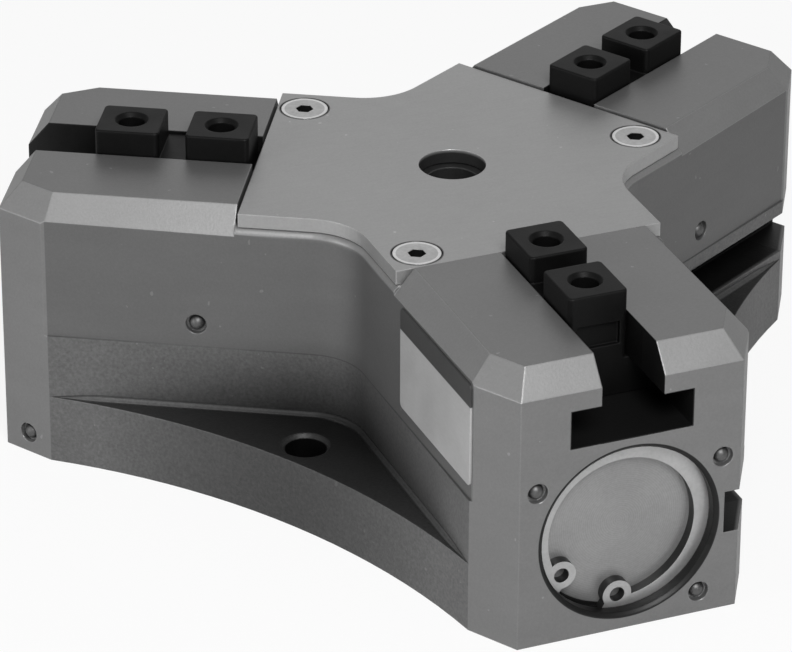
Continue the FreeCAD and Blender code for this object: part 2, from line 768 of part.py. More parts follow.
def make_pinion():
    """The pinion meets all three racks at once; its hubs run in the two bushes."""
    count = round(number("tooth_count"))
    module = number("tooth_module")
    pitch_radius = number("pitch_radius")
    tip_radius = pitch_radius + module
    root_radius = pitch_radius - 1.25 * module
    base_radius = pitch_radius * math.cos(math.radians(PRESSURE_ANGLE))
    pressure = math.radians(PRESSURE_ANGLE)
    thickness = math.pi * module / 2 - number("backlash")
    base_half_angle = thickness / (2 * pitch_radius) + math.tan(pressure) - pressure

    edges = []
    for i in range(count):
        turn_angle = 2 * math.pi * i / count
        next_angle = 2 * math.pi * (i + 1) / count
        flank = involute_flank(base_radius, tip_radius, base_half_angle)
        upper = [turned_point(p, turn_angle) for p in flank]
        lower = [turned_point(Vector(p.x, -p.y, 0), turn_angle) for p in flank]
        following = turned_point(Vector(flank[0].x, -flank[0].y, 0), next_angle)
        roots = [polar_point(root_radius, turn_angle + base_half_angle),
                 polar_point(root_radius, (turn_angle + next_angle) / 2),
                 polar_point(root_radius, next_angle - base_half_angle)]
        edges.append(spline(lower))
        edges.append(Part.Arc(lower[-1], polar_point(tip_radius, turn_angle), upper[-1]).toShape())
        edges.append(spline(upper[::-1]))
        edges.append(Part.LineSegment(upper[0], roots[0]).toShape())
        edges.append(Part.Arc(*roots).toShape())
        edges.append(Part.LineSegment(roots[2], following).toShape())
    face = Part.Face(Part.Wire(Part.__sortEdges__(edges)))
    teeth = face.extrude(Vector(0, 0, number("gear_thickness")))
    teeth.translate(Vector(0, 0, number("gear_floor")))

    hub_floor = number("lower_bush_up")
    hub_top = number("seat_up - hub_gap")
    hub = Part.makeCylinder(number("hub_radius"), hub_top - hub_floor, Vector(0, 0, hub_floor))
    bore = Part.makeCylinder(number("hub_bore_radius"), hub_top, Vector(0, 0, 0))
    pinion = doc.addObject("Part::Feature", "pinion")
    pinion.Shape = teeth.fuse(hub).cut(bore)
    return pinion


def polar_point(radius, angle):
    return Vector(radius * math.cos(angle), radius * math.sin(angle), 0)


def turned_point(point, angle):
    return polar_point(math.hypot(point.x, point.y), math.atan2(point.y, point.x) + angle)


def spline(points):
    curve = Part.BSplineCurve()
    curve.interpolate(points)
    return curve.toShape()


# One arm's pieces

def make_end_cap(arm):
    name = f"end_cap_{arm}"
    body = new_body(name)
    radius = "(cap_seat_radius - cap_clearance)"
    groove = "(2 * cap_seal_radius + 2 * cap_seal_play)"
    groove_start = f"((cap_thickness - {groove}) / 2)"
    floor = "(cap_seat_radius - 2 * cap_seal_radius - cap_seal_play)"
    section = outline(new_sketch(body, f"cap_section_{arm}", "XZ_Plane"), [
        ("0", "0"),
        ("0", radius),
        (groove_start, radius),
        (groove_start, floor),
        (f"{groove_start} + {groove}", floor),
        (f"{groove_start} + {groove}", radius),
        ("cap_thickness", radius),
        ("cap_thickness", "0"),
    ])
    turn(body, f"cap_turned_{arm}", section)
    return put(body, arm, "cap_back", "0", "bore_up")


def make_cap_seals():
    seals = []
    for arm in ARM_ANGLES:
        seal = doc.addObject("Part::Torus", f"cap_seal_{arm}")
        bind(seal, Radius1="cap_seat_radius - cap_seal_radius", Radius2="cap_seal_radius - cap_seal_slack")
        seals.append(put(seal, arm, "cap_back + cap_thickness / 2", "0", "bore_up", FACING))
    return together("end_cap_seals", seals)


def make_retaining_ring(arm):
    """Tapered internal ring, widest opposite its two lugs."""
    def at(reach, angle):
        return f"{reach} * cos({angle})", f"bore_up + {reach} * sin({angle})"

    def disc(name, radius, side, up):
        return put(cylinder(f"ring_{name}_{arm}", radius, "ring_thickness"), arm, "cap_front", side, up,
                   FACING)

    opening = RING_OPEN_ANGLE
    outer = disc("outer", "ring_outer", "0", "bore_up")
    inner = disc("inner", "ring_inner_radius", *at("ring_shift", opening))
    band = cut(f"ring_band_{arm}", outer, inner)
    half_gap = "(lug_reach * sin(lug_half_angle) - lug_radius / 2)"
    gap = block(f"ring_gap_{arm}", "ring_outer", f"2 * {half_gap}", "ring_thickness")
    side = f"({half_gap}) * sin({opening})"
    up = f"bore_up - ({half_gap}) * cos({opening})"
    put(gap, arm, "cap_front", side, up, Rotation(Vector(1, 0, 0), opening) * FACING)
    lugs = []
    holes = []
    for i, sign in enumerate((1, -1), start=1):
        place = at("lug_reach", f"({opening} + {sign} * lug_half_angle)")
        lugs.append(disc(f"lug_{i}", "lug_radius", *place))
        holes.append(disc(f"lug_hole_{i}", "lug_hole_radius", *place))
    blank = fuse(f"ring_blank_{arm}", cut(f"ring_open_{arm}", band, gap), *lugs)
    return cut(f"retaining_ring_{arm}", blank, fuse(f"ring_holes_{arm}", *holes))


def make_piston(arm):
    body = new_body(f"piston_{arm}")
    radius = "piston_radius"
    grooves = [
        ("seal_inset", "seal_width", "seal_depth"),
        ("band_inset", "band_width", "band_depth"),
        ("piston_length - magnet_inset - magnet_width", "magnet_width", "magnet_depth"),
        ("piston_length - seal_inset - seal_width", "seal_width", "seal_depth"),
    ]
    points = [("0", "0"), ("0", radius)]
    for start, width, depth in grooves:
        begin = f"({start} - groove_play)"
        end = f"({start} + {width} + groove_play)"
        floor = f"({radius} - {depth} - groove_play)"
        points += [(begin, radius), (begin, floor), (end, floor), (end, radius)]
    points += [("piston_length", radius), ("piston_length", "0")]
    section = outline(new_sketch(body, f"piston_section_{arm}", "XZ_Plane"), points)
    turn(body, f"piston_turned_{arm}", section)
    drill(body, f"piston_pin_hole_{arm}", CHUCK, "piston_length / 2", "0", "-pin_drop",
          "pin_radius + pin_fit",
          "bore_radius + pin_drop")
    return put(body, arm, "piston_start", "0", "bore_up")


def make_ring(name, arm, start, width, depth):
    """A ring that fills a piston groove out to the piston's own radius."""
    along = f"piston_start + {start}"
    place = (arm, along, "0", "bore_up", FACING)
    outer = cylinder(f"{name}_outer", "piston_radius", width)
    inner = cylinder(f"{name}_inner", f"piston_radius - {depth}", width)
    return cut(name, put(outer, *place), put(inner, *place))


def make_piston_rings(arm):
    starts = ("seal_inset", "piston_length - seal_inset - seal_width")
    seals = [make_ring(f"piston_seal_{arm}_{i}", arm, start, "seal_width", "seal_depth")
             for i, start in enumerate(starts, start=1)]
    band = make_ring(f"guide_band_{arm}", arm, "band_inset", "band_width", "band_depth")
    magnet = make_ring(f"magnet_ring_{arm}", arm, "piston_length - magnet_inset - magnet_width",
                       "magnet_width",
                       "magnet_depth")
    return [together(f"piston_seals_{arm}", seals), band, magnet]


def make_drive_pin(arm):
    floor = "(bore_up - pin_drop)"
    top = "(tee_floor + tee_clearance + pin_engagement)"
    return put(cylinder(f"drive_pin_{arm}", "pin_radius", f"{top} - {floor}"), arm, "pin_along", "0", floor)


def make_jaw(arm):
    """Sliding jaw: a T-shaped root in the slot and two bosses above the arm."""
    body = new_body(f"jaw_{arm}")
    root_half = "(tee_half_width - tee_clearance)"
    neck_half = "(neck_half_width - neck_clearance)"
    root_floor = "(tee_floor + tee_clearance)"
    length = "jaw_nose - jaw_tail"
    add_box(body, f"jaw_root_{arm}", CHUCK, "jaw_tail", f"-{root_half}", root_floor, length,
            f"2 * {root_half}",
            "tee_height - 2 * tee_clearance")
    add_box(body, f"jaw_tail_neck_{arm}", CHUCK, "jaw_tail", f"-{neck_half}", root_floor, length,
            f"2 * {neck_half}", f"seat_up - bridge_drop - {root_floor}")
    add_box(body, f"jaw_bridge_{arm}", CHUCK, "boss_start", f"-{neck_half}", root_floor,
            "jaw_nose - boss_start",
            f"2 * {neck_half}", f"arm_height - bridge_drop - {root_floor}")
    starts = ("boss_start", "(boss_start + boss_pitch)")
    for i, start in enumerate(starts, start=1):
        add_box(body, f"jaw_boss_{arm}_{i}", CHUCK, start, f"-{neck_half}", root_floor, "boss_length",
                f"2 * {neck_half}", f"boss_top - {root_floor}")
    top = number("boss_top")
    round_edges(body, f"boss_corners_{arm}", "boss_corner_radius",
                lambda edge: is_vertical(edge) and abs(edge.BoundBox.ZMax - top) < NEAR)
    round_edges(body, f"boss_edges_{arm}", "boss_edge_radius", lambda edge: is_level(edge, top))
    for i, start in enumerate(starts, start=1):
        middle = f"{start} + boss_length / 2"
        drill(body, f"jaw_hole_{arm}_{i}", CHUCK, middle, "0", "boss_top - jaw_hole_depth",
              "jaw_hole_radius",
              f"jaw_hole_depth + {OVERCUT}")
        bevel(body, f"jaw_hole_mouth_{arm}_{i}", CHUCK, middle, "0", "boss_top - jaw_hole_bevel",
              "jaw_hole_radius", "jaw_hole_radius + jaw_hole_bevel", "jaw_hole_bevel")
    cut_box(body, f"nose_recess_{arm}", CHUCK, "jaw_nose - nose_recess_depth", "-nose_recess_half_width",
            "nose_recess_bottom", f"nose_recess_depth + {OVERCUT}", "2 * nose_recess_half_width",
            "nose_recess_height")
    drill(body, f"jaw_pin_hole_{arm}", CHUCK, "pin_along", "0", root_floor, "pin_radius + pin_fit",
          "pin_engagement")
    drill(body, f"jaw_rack_thread_{arm}", CHUCK, "jaw_tail", "-rack_screw_side", "gear_mid",
          "rack_screw_radius",
          "rack_screw_length + rack_screw_head_depth - foot_length", FACING)
    return put(body, arm, "0", "0", "0")


def make_rack(arm):
    """Rack bar with a foot that is screwed to the jaw's inner end."""
    body = new_body(f"rack_{arm}")
    add_box(body, f"rack_bar_{arm}", CHUCK, "-rack_overrun", "rack_front", "gear_floor",
            "rack_overrun + rack_heel",
            "rack_back - rack_front", "gear_thickness")
    add_box(body, f"rack_foot_{arm}", CHUCK, "foot_start", "-foot_side", "gear_floor", "foot_length",
            "foot_side + tee_half_width - foot_inset", "gear_thickness")
    slope = math.tan(math.radians(PRESSURE_ANGLE))
    half_gap = "(tooth_pitch / 4 + backlash / 4)"
    centre = "(floor(rack_overrun / tooth_pitch) * tooth_pitch)"
    mouth = f"({half_gap} + {slope} * rack_addendum)"
    root = f"({half_gap} - {slope} * rack_dedendum)"
    root_side = "(pitch_radius + rack_dedendum)"
    gap_outline = outline(new_sketch(body, f"tooth_gap_{arm}", "XY_Plane", "gear_floor"), [
        (f"-{centre} - {mouth}", "rack_front"),
        (f"{mouth} - {centre}", "rack_front"),
        (f"{root} - {centre}", root_side),
        (f"-{centre} - {root}", root_side),
    ])
    gap = pocket_up(body, f"tooth_cut_{arm}", gap_outline, "gear_thickness")
    pattern = body.newObject("PartDesign::LinearPattern", f"rack_teeth_{arm}")
    pattern.Originals = [gap]
    pattern.Direction = (origin_item(body, "X_Axis"), [""])
    bind(pattern, Length="tooth_pitch * (rack_gaps - 1)", Occurrences="rack_gaps")
    body.Tip = pattern
    head = "(rack_screw_head_depth)"
    drill(body, f"rack_screw_sink_{arm}", CHUCK, "foot_start", "-rack_screw_side", "gear_mid",
          "rack_screw_head_radius + head_clearance", head, FACING)
    drill(body, f"rack_screw_hole_{arm}", CHUCK, "foot_start", "-rack_screw_side", "gear_mid",
          "rack_screw_radius",
          "foot_length", FACING)
    return put(body, arm, "0", "0", "0")


def make_rack_screw(arm):
    place = ("-rack_screw_side", "gear_mid", FACING)
    head = put(cylinder(f"rack_head_{arm}", "rack_screw_head_radius", "rack_screw_head_depth"), arm,
               "foot_start",
               *place)
    shank = put(cylinder(f"rack_shank_{arm}", "rack_screw_radius", "rack_screw_length"), arm,
                "foot_start + rack_screw_head_depth", *place)
    key = put(hexagon(f"rack_key_{arm}", "rack_screw_radius", "rack_screw_head_depth / 2"), arm,
              "foot_start", *place)
    return cut(f"rack_screw_{arm}", fuse(f"rack_screw_blank_{arm}", head, shank), key)


def main():
    pieces = [make_casting(), make_cover(), make_cover_screws(), make_ball_plugs()]
    pieces.append(make_bush("lower_bush", "lower_bush_up", "bush_length"))
    pieces.append(make_bush("upper_bush", "upper_bush_up", "upper_bush_length"))
    pieces += [make_pinion(), make_cap_seals()]
    for arm in ARM_ANGLES:
        pieces += [make_end_cap(arm), make_retaining_ring(arm), make_piston(arm), *make_piston_rings(arm)]
        pieces += [make_drive_pin(arm), make_jaw(arm), make_rack(arm), make_rack_screw(arm)]
    for piece in pieces:
        piece.Label = piece.Name
    doc.recompute()

    faults = [item.Name for item in doc.Objects if {"Invalid", "Error"} & set(item.State)]
    faults += [piece.Label for piece in pieces if piece.Shape.isNull() or not piece.Shape.isValid()]
    if faults:
        raise RuntimeError("these did not build: " + ", ".join(faults))
    os.makedirs("parts", exist_ok=True)
    for piece in pieces:
        piece.Shape.exportStep(f"parts/{piece.Label}.step")
        print(f"{piece.Label}: {len(piece.Shape.Solids)} solid(s), {piece.Shape.Volume:.1f} mm3")


main()
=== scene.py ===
"""Finishes, fine pieces, light and camera for the three-jaw air chuck."""

import math

import bmesh
import bpy
from bpy.props import FloatProperty, FloatVectorProperty, PointerProperty
from mathutils import Matrix, Vector


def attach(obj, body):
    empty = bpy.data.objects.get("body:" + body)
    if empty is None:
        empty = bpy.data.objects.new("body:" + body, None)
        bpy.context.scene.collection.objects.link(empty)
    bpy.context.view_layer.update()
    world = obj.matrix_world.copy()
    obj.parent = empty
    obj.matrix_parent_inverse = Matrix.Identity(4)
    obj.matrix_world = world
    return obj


bl_info = {
    "name": "Three-jaw air chuck",
    "version": (1, 0, 0),
    "blender": (4, 5, 0),
    "location": "View3D > Sidebar > Air chuck",
    "description": "Dresses the packed chuck with its finishes, fine pieces and stage",
    "category": "Object",
}

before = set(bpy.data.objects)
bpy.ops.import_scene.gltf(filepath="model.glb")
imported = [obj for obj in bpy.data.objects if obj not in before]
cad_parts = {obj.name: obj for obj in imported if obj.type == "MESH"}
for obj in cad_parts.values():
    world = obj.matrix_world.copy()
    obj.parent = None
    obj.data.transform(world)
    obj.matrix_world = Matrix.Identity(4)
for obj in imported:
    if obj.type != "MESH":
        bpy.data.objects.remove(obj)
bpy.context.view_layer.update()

MM = 0.001
ARM_ANGLES = {"a": -90.0, "b": 150.0, "c": 30.0}

COS_60 = math.cos(math.radians(60))
SIN_60 = math.sin(math.radians(60))

# Places on the chuck, in millimetres

HALF_WIDTH = 22.5
CORNER_ALONG = 61.0
HOLLOW_RADIUS = 10.0
WEB_TOP = 11.5
WEB_REACH = 42.3
CAST_STEP = 22.3
BORE_UP = 16.5
SCREW_PLACE = (26.1, -16.7)
MOUNT_REACH = 37.0

# The name plate on arm a, in millimetres; the wall under it leans in by an angle in degrees

PLATE_ALONG = (34.3, 61.0)
PLATE_UP = (24.7, 41.7)
PLATE_HALF_SIZE = (13.0, 8.0)
PLATE_CORNER = 0.8
PLATE_BEVEL = 0.06
PLATE_SUNK = 0.01
WALL_LEANS_FROM = 22.0
WALL_LEAN = 0.45

# Bounds of the finishes, in millimetres, a little past the faces that they take in;
# the corner's slope is what its face comes in by for each millimetre along the arm

END_FROM = 60.95
END_FACE = 68.9
CORNER_SLOPE = 0.575
MACHINED_FROM = 30.0
SLOT_FLOOR = 32.5
SLOT_START = 11.0
TEE_TOP = 38.9
TEE_HALF_WIDTH = 9.95
NECK_HALF_WIDTH = 5.05
GROOVE_FLOOR = 15.4
GROOVE_MOUTH = 22.0
GROOVE_HALF_HEIGHT = 3.6
MOUTH_RADIUS = 14.75
BORE_START = 12.0
MOUNT_RADIUS = 3.35
MOUNT_TOP = 10.8
KEY_RADIUS = 1.7
KEY_TOP = 45.6
HEAD_RIM = 3.45
SINK_RADIUS = 3.95
CENTRE_RADIUS = 5.6
CENTRE_TOP = 45.3
BAND_FOOT = 38.0

# The photograph's camera: angles in degrees, shift in half arm widths, focal length in pixels

CAMERA_AZIMUTH = -22.145
CAMERA_ELEVATION = 28.11
CAMERA_ROLL = 0.199
CAMERA_SHIFT = (-0.387, 0.663, 35.303)
FOCAL_PIXELS = 4918.67
PHOTO_WIDTH = 792

FLOOR_HALF_SIZE = 3.0


# Shader expressions

class Value:
    """A shader socket in an expression; arithmetic on it adds Math nodes."""

    def __init__(self, nodes, socket):
        self.nodes = nodes
        self.socket = socket

    def math(self, operation, *terms, clamp=False):
        return self.nodes.node("Math", {"operation": operation, "use_clamp": clamp}, dict(enumerate(terms)))

    def __add__(self, other):
        return self.math("ADD", self, other)

    def __radd__(self, other):
        return self.math("ADD", other, self)

    def __sub__(self, other):
        return self.math("SUBTRACT", self, other)

    def __rsub__(self, other):
        return self.math("SUBTRACT", other, self)

    def __mul__(self, other):
        return self.math("MULTIPLY", self, other)

    def __rmul__(self, other):
        return self.math("MULTIPLY", other, self)

    def __pow__(self, other):
        return self.math("POWER", self, other)

    def magnitude(self):
        return self.math("ABSOLUTE", self)

    def root(self):
        return self.math("SQRT", self)

    def sine(self):
        return self.math("SINE", self)

    def at_least(self, limit):
        return self.math("MAXIMUM", self, limit)

    def at_most(self, limit):
        return self.math("MINIMUM", self, limit)

    def above(self, limit, softness):
        """Rises from 0 to 1 as the value passes a limit."""
        return self.math("MULTIPLY_ADD", self, 1 / softness, 0.5 - limit / softness, clamp=True)

    def clamped(self):
        return self.math("ADD", self, 0.0, clamp=True)


class Nodes:
    """An emptied node tree and the ways to fill it."""

    def __init__(self, tree):
        self.tree = tree
        tree.nodes.clear()

    def node(self, kind, settings=None, sockets=None, output=0):
        """Add a node: its settings first, then the values or links of its sockets."""
        made = self.tree.nodes.new("ShaderNode" + kind)
        for name, value in (settings or {}).items():
            setattr(made, name, value)
        for key, value in (sockets or {}).items():
            self.feed(made.inputs[key], value)
        return Value(self, made.outputs[output]) if len(made.outputs) else made

    def feed(self, socket, value):
        if isinstance(value, Value):
            self.tree.links.new(value.socket, socket)
        elif socket.type == "RGBA" and len(value) == 3:
            socket.default_value = (*value, 1.0)
        else:
            socket.default_value = value


class Paint(Nodes):
    """One material and the nodes that it is made of."""

    def __init__(self, name, **shader):
        self.material = bpy.data.materials.new(name)
        self.material.use_nodes = True
        super().__init__(self.material.node_tree)
        levels = {name.replace("_", " "): value for name, value in shader.items()}
        surface = self.node("BsdfPrincipled", {}, levels)
        self.shader = surface.socket.node
        self.output = self.node("OutputMaterial", {}, {"Surface": surface})

    def vector(self, operation, *terms, output="Vector"):
        return self.node("VectorMath", {"operation": operation}, dict(enumerate(terms)), output)

    def dot(self, first, second):
        return self.vector("DOT_PRODUCT", first, second, output="Value")

    def length(self, vector):
        return self.vector("LENGTH", vector, output="Value")

    def drive(self, **sockets):
        """Feed what varies over the surface into the shader."""
        for name, value in sockets.items():
            self.feed(self.shader.inputs[name.replace("_", " ")], value)

    def place(self):
        """Position on the piece, in metres."""
        return self.node("TexCoord", output="Object")

    def along(self, axis):
        return self.node("SeparateXYZ", {}, {0: self.place()}, output=axis)

    def from_axis(self):
        """Distance from the chuck's centre line, in metres."""
        return (self.along("X") ** 2.0 + self.along("Y") ** 2.0).root()

    def normal(self):
        return self.node("NewGeometry", output="Normal")

    def rise(self):
        """How far a face looks up: 1 for level faces and 0 for upright ones."""
        return self.node("SeparateXYZ", {}, {0: self.normal()}, output="Z")

    def stretched(self, scale, turn=0.0):
        return self.node("Mapping", {}, {"Vector": self.place(), "Scale": scale, "Rotation": (0, 0, turn)})

    def noise(self, scale, detail=3.0, roughness=0.5, vector=None):
        return self.node("TexNoise", {}, {
            "Vector": vector or self.place(), "Scale": scale, "Detail": detail, "Roughness": roughness})

    def mix(self, factor, first, second):
        return self.node("Mix", {"data_type": "RGBA"}, {0: factor, 6: first, 7: second}, output=2)

    def tinted(self, colour, factor):
        """A colour made lighter or darker by a factor that varies over the surface."""
        return self.node("VectorMath", {"operation": "SCALE"}, {0: colour, "Scale": factor})

    def edges(self, radius, gain=3.0):
        """How near a sharp edge is: 1 on it and 0 beyond the radius."""
        soft = self.node("Bevel", {"samples": 6}, {"Radius": radius})
        return ((1 - self.dot(soft, self.normal())) * gain).clamped()

    def relief(self, height, distance, strength=1.0, edge_radius=0.0):
        """Normals from a height, over edges rounded by a small radius."""
        sockets = {"Height": height, "Distance": distance, "Strength": strength}
        if edge_radius:
            sockets["Normal"] = self.node("Bevel", {"samples": 6}, {"Radius": edge_radius})
        return self.node("Bump", {}, sockets)


def grey(level):
    return (level, level, level)


# Finishes

def within(value, limit):
    """1 where a value in metres is no further from 0 than a limit in millimetres."""
    return 1 - value.magnitude().above(limit * MM, 0.1 * MM)


def arm_hollows(along, side, up):
    """Mask of one arm's jaw slot, switch grooves, cylinder and the mounting hole opposite it, the places
    darkened as painted shade.
    """
    in_slot = up.above(SLOT_FLOOR * MM, 0.1 * MM)
    tee = within(side, TEE_HALF_WIDTH) * in_slot * (1 - up.above(TEE_TOP * MM, 0.1 * MM))
    neck = within(side, NECK_HALF_WIDTH) * in_slot
    height = up - BORE_UP * MM
    groove = side.magnitude().above(GROOVE_FLOOR * MM, 0.1 * MM) * within(height, GROOVE_HALF_HEIGHT)
    past_corner = (along - CORNER_ALONG * MM).at_least(0.0) * CORNER_SLOPE
    inner = 1 - (side.magnitude() + past_corner).above(GROOVE_MOUTH * MM, 0.5 * MM)
    groove = groove * inner * (1 - along.above(END_FACE * MM, 0.05 * MM))
    slots = (tee + neck + groove).clamped() * along.above(SLOT_START * MM, 0.2 * MM)
    reach = (side * side + height * height).root()
    bore = within(reach, MOUTH_RADIUS) * along.above(BORE_START * MM, 0.2 * MM)
    mount = within(side, MOUNT_RADIUS) * within(along + MOUNT_REACH * MM, MOUNT_RADIUS)
    return slots + bore + mount * within(up, MOUNT_TOP)


def cast_finish(colour):
    """Blasted casting: machined tops and ends and darker cast walls, with painted shade in the slots, bores,
    grooves and mounting holes, on the webs and their fillets and low on the walls near the centre, and
    painted highlights on the chamfers and along the edges.
    """
    paint = Paint("blasted_aluminium", Metallic=0.6, Specular_IOR_Level=0.5)
    up = paint.along("Z")
    rise = paint.rise()
    # each arm's slots, grooves, bore mouth and mounting hole are gathered here and darkened below as painted
    # shade
    ends = hollow_shade = 0.0
    for arm in ARM_ANGLES:
        out = arm_axis(arm)
        along = paint.dot(paint.place(), out)
        side = paint.dot(paint.place(), Vector((-out.y, out.x, 0.0)))
        ends = ends + along.above(END_FROM * MM, 0.1 * MM)
        hollow_shade = hollow_shade + arm_hollows(along, side, up)
    machined = (ends + rise.above(0.3, 0.2) * up.above(MACHINED_FROM * MM, 1.0 * MM)).clamped()
    walls = 1 - machined
    lower = walls * (1 - up.above(CAST_STEP * MM, 0.3 * MM))
    step = walls * within(up - CAST_STEP * MM, 0.1)
    # painted shade on the web tops, which lie low between the arms
    web = rise.above(0.9, 0.05) * within(up - WEB_TOP * MM, 0.3)
    # painted shade on the web fillets
    fillet = rise.above(0.12, 0.1) * within(up - (WEB_TOP + 0.7) * MM, 0.9)
    # painted highlight on the chamfers and the rounded shoulder, the faces that look half up
    chamfer_highlight = (1 - (rise - 0.65).magnitude().above(0.3, 0.1)) * up.above(MACHINED_FROM * MM, 2.0 * MM)
    # painted shade low on the walls near the centre, in the hollows between the arms
    foot_shade = walls * (1 - up.above(18.0 * MM, 14.0 * MM)) * (1 - paint.from_axis().above(45.0 * MM, 26.0 * MM))

    grain = paint.noise(2600.0, 2.0, 0.6)
    coarse = paint.noise(1900.0, 2.0, 0.6)
    cloud = paint.noise(40.0, 4.0, 0.6)
    streak = paint.noise(70.0, 3.0, 0.5, paint.stretched((1.0, 1.0, 5.0)))
    edge = paint.edges(0.45 * MM)
    speck = paint.noise(900.0, 0.0, 0.3).above(0.86, 0.02)
    tone = 1.0 + (cloud - 0.5) * 0.22 + (streak - 0.5) * 0.12 + (grain - 0.5) * 0.2
    tone = tone + (coarse - 0.5) * lower * 0.8 + speck * 0.4
    # painted highlight along the edges, a little stronger on the upper ones
    tone = tone + edge * (0.4 + up.above(MACHINED_FROM * MM, 8.0 * MM) * 0.15)
    tone = tone * (1 - walls * 0.3) * (1 - web * 0.45) * (1 - hollow_shade.clamped() * 0.93) * (1 + chamfer_highlight * 0.38)
    tone = tone * (1 - foot_shade * 0.85) * (1 - fillet * 0.3) * (1 - step * 0.35)
    paint.drive(
        Base_Color=paint.tinted(colour, tone),
        Roughness=0.43 + walls * 0.07 + (cloud - 0.5) * 0.14 - edge * 0.1,
        Normal=paint.relief(grain * 0.8 + coarse * (0.25 + lower), 0.04 * MM, 0.5, 0.35 * MM),
    )
    return paint.material


def screw_reach(paint):
    """Distance of a place from the axis of the nearest cover screw, in metres."""
    nearest = 1.0
    for arm in ARM_ANGLES:
        offset = paint.vector("SUBTRACT", paint.place(), on_arm(arm, *SCREW_PLACE, 0.0))
        flat = paint.vector("MULTIPLY", offset, (1.0, 1.0, 0.0))
        nearest = paint.length(flat).at_most(nearest)
    return nearest


def screw_finish(colour):
    """Plated countersunk heads with a painted highlight on the rim and painted shade in the key socket."""
    paint = Paint("plated_screws", Metallic=0.75)
    reach = screw_reach(paint)
    cloud = paint.noise(500.0, 3.0, 0.6)
    grain = paint.noise(1900.0, 2.0, 0.5)
    below_rim = 1 - paint.along("Z").above(KEY_TOP * MM, 0.05 * MM)
    # painted shade in the key socket
    socket = (1 - reach.above(KEY_RADIUS * MM, 0.25 * MM)) * below_rim
    # painted highlight on the rim of the head
    rim = within(reach - HEAD_RIM * MM, 0.22)
    tone = (0.85 + (cloud - 0.5) * 0.5 + (grain - 0.5) * 0.3 + rim * 0.5) * (1 - socket * 0.93)
    paint.drive(
        Base_Color=paint.tinted(colour, tone),
        Roughness=0.36 + (cloud - 0.5) * 0.15,
        Normal=paint.relief(grain, 0.015 * MM, 0.4, 0.12 * MM),
    )
    return paint.material


def cover_finish(colour):
    """Machined plate, lighter than the casting, with faint cross streaks, a painted highlight along its
    edges, and painted shade in the gap around each screw head and in the centre hole.
    """
    paint = Paint("machined_cover", Metallic=0.6, Specular_IOR_Level=0.5)
    cloud = paint.noise(38.0, 4.0, 0.65)
    lay = paint.noise(300.0, 2.0, 0.5, paint.stretched((1.0, 9.0, 1.0), 0.35))
    grain = paint.noise(2600.0, 2.0, 0.5)
    # painted highlight along the edges
    edge = paint.edges(0.35 * MM)
    speck = paint.noise(900.0, 0.0, 0.3).above(0.86, 0.02)
    # painted shade in the gap around each screw head
    gap_shade = within(screw_reach(paint) - SINK_RADIUS * MM, 0.16)
    below_top = 1 - paint.along("Z").above(CENTRE_TOP * MM, 0.4 * MM)
    # painted shade in the centre hole
    hole = within(paint.from_axis(), CENTRE_RADIUS) * below_top
    tone = 0.8 + (cloud - 0.5) * 0.3 + (lay - 0.5) * 0.08 + (grain - 0.5) * 0.14 + edge * 0.5 + speck * 0.3
    tone = tone * (1 - gap_shade * 0.75) * (1 - hole * 0.85)
    paint.drive(
        Base_Color=paint.tinted(colour, tone),
        Roughness=0.42 + (cloud - 0.5) * 0.2 - edge * 0.1,
        Normal=paint.relief(lay + grain, 0.02 * MM, 0.4, 0.25 * MM),
    )
    return paint.material


def oxide_finish(name, colour):
    """Blackened steel with lighter edges: a painted highlight and slight wear."""
    paint = Paint(name, Metallic=0.1, Specular_IOR_Level=0.17)
    cloud = paint.noise(150.0, 3.0, 0.6)
    grain = paint.noise(2600.0, 2.0, 0.5)
    edge = paint.edges(0.45 * MM)
    # lighter edges: a painted highlight and slight wear
    tone = 0.8 + (cloud - 0.5) * 0.6 + (grain - 0.5) * 0.5 + edge * 1.8
    paint.drive(
        Base_Color=paint.tinted(colour, tone),
        Roughness=0.45 + (cloud - 0.5) * 0.2 - edge * 0.08,
        Normal=paint.relief(grain, 0.03 * MM, 0.4, 0.3 * MM),
    )
    return paint.material


def steel_finish(name, colour, roughness):
    """Bright steel with a fine machined lay and a faint painted highlight along its edges."""
    paint = Paint(name, Metallic=0.9)
    lay = paint.noise(1500.0, 2.0, 0.5, paint.stretched((1.0, 1.0, 6.0)))
    cloud = paint.noise(260.0, 3.0, 0.6)
    edge = paint.edges(0.25 * MM)
    paint.drive(
        # edge term: faint painted highlight along the edges
        Base_Color=paint.tinted(colour, 0.85 + (cloud - 0.5) * 0.3 + (lay - 0.5) * 0.2 + edge * 0.2),
        Roughness=roughness + (cloud - 0.5) * 0.12,
        Normal=paint.relief(lay, 0.015 * MM, 0.4, 0.12 * MM),
    )
    return paint.material


def ring_finish(name, colour, axis):
    """Spring steel ring with light flat faces and much darker side walls."""
    paint = Paint(name, Metallic=0.7)
    # side walls darker than the flat faces across the axis
    face = paint.dot(paint.normal(), axis).magnitude().above(0.8, 0.1)
    cloud = paint.noise(260.0, 3.0, 0.6)
    grain = paint.noise(1800.0, 2.0, 0.5)
    tone = (0.1 + face * 0.9) * (0.9 + (cloud - 0.5) * 0.3 + (grain - 0.5) * 0.2)
    paint.drive(
        Base_Color=paint.tinted(colour, tone),
        Roughness=0.36 + (cloud - 0.5) * 0.12,
        Normal=paint.relief(grain, 0.015 * MM, 0.4, 0.08 * MM),
    )
    return paint.material


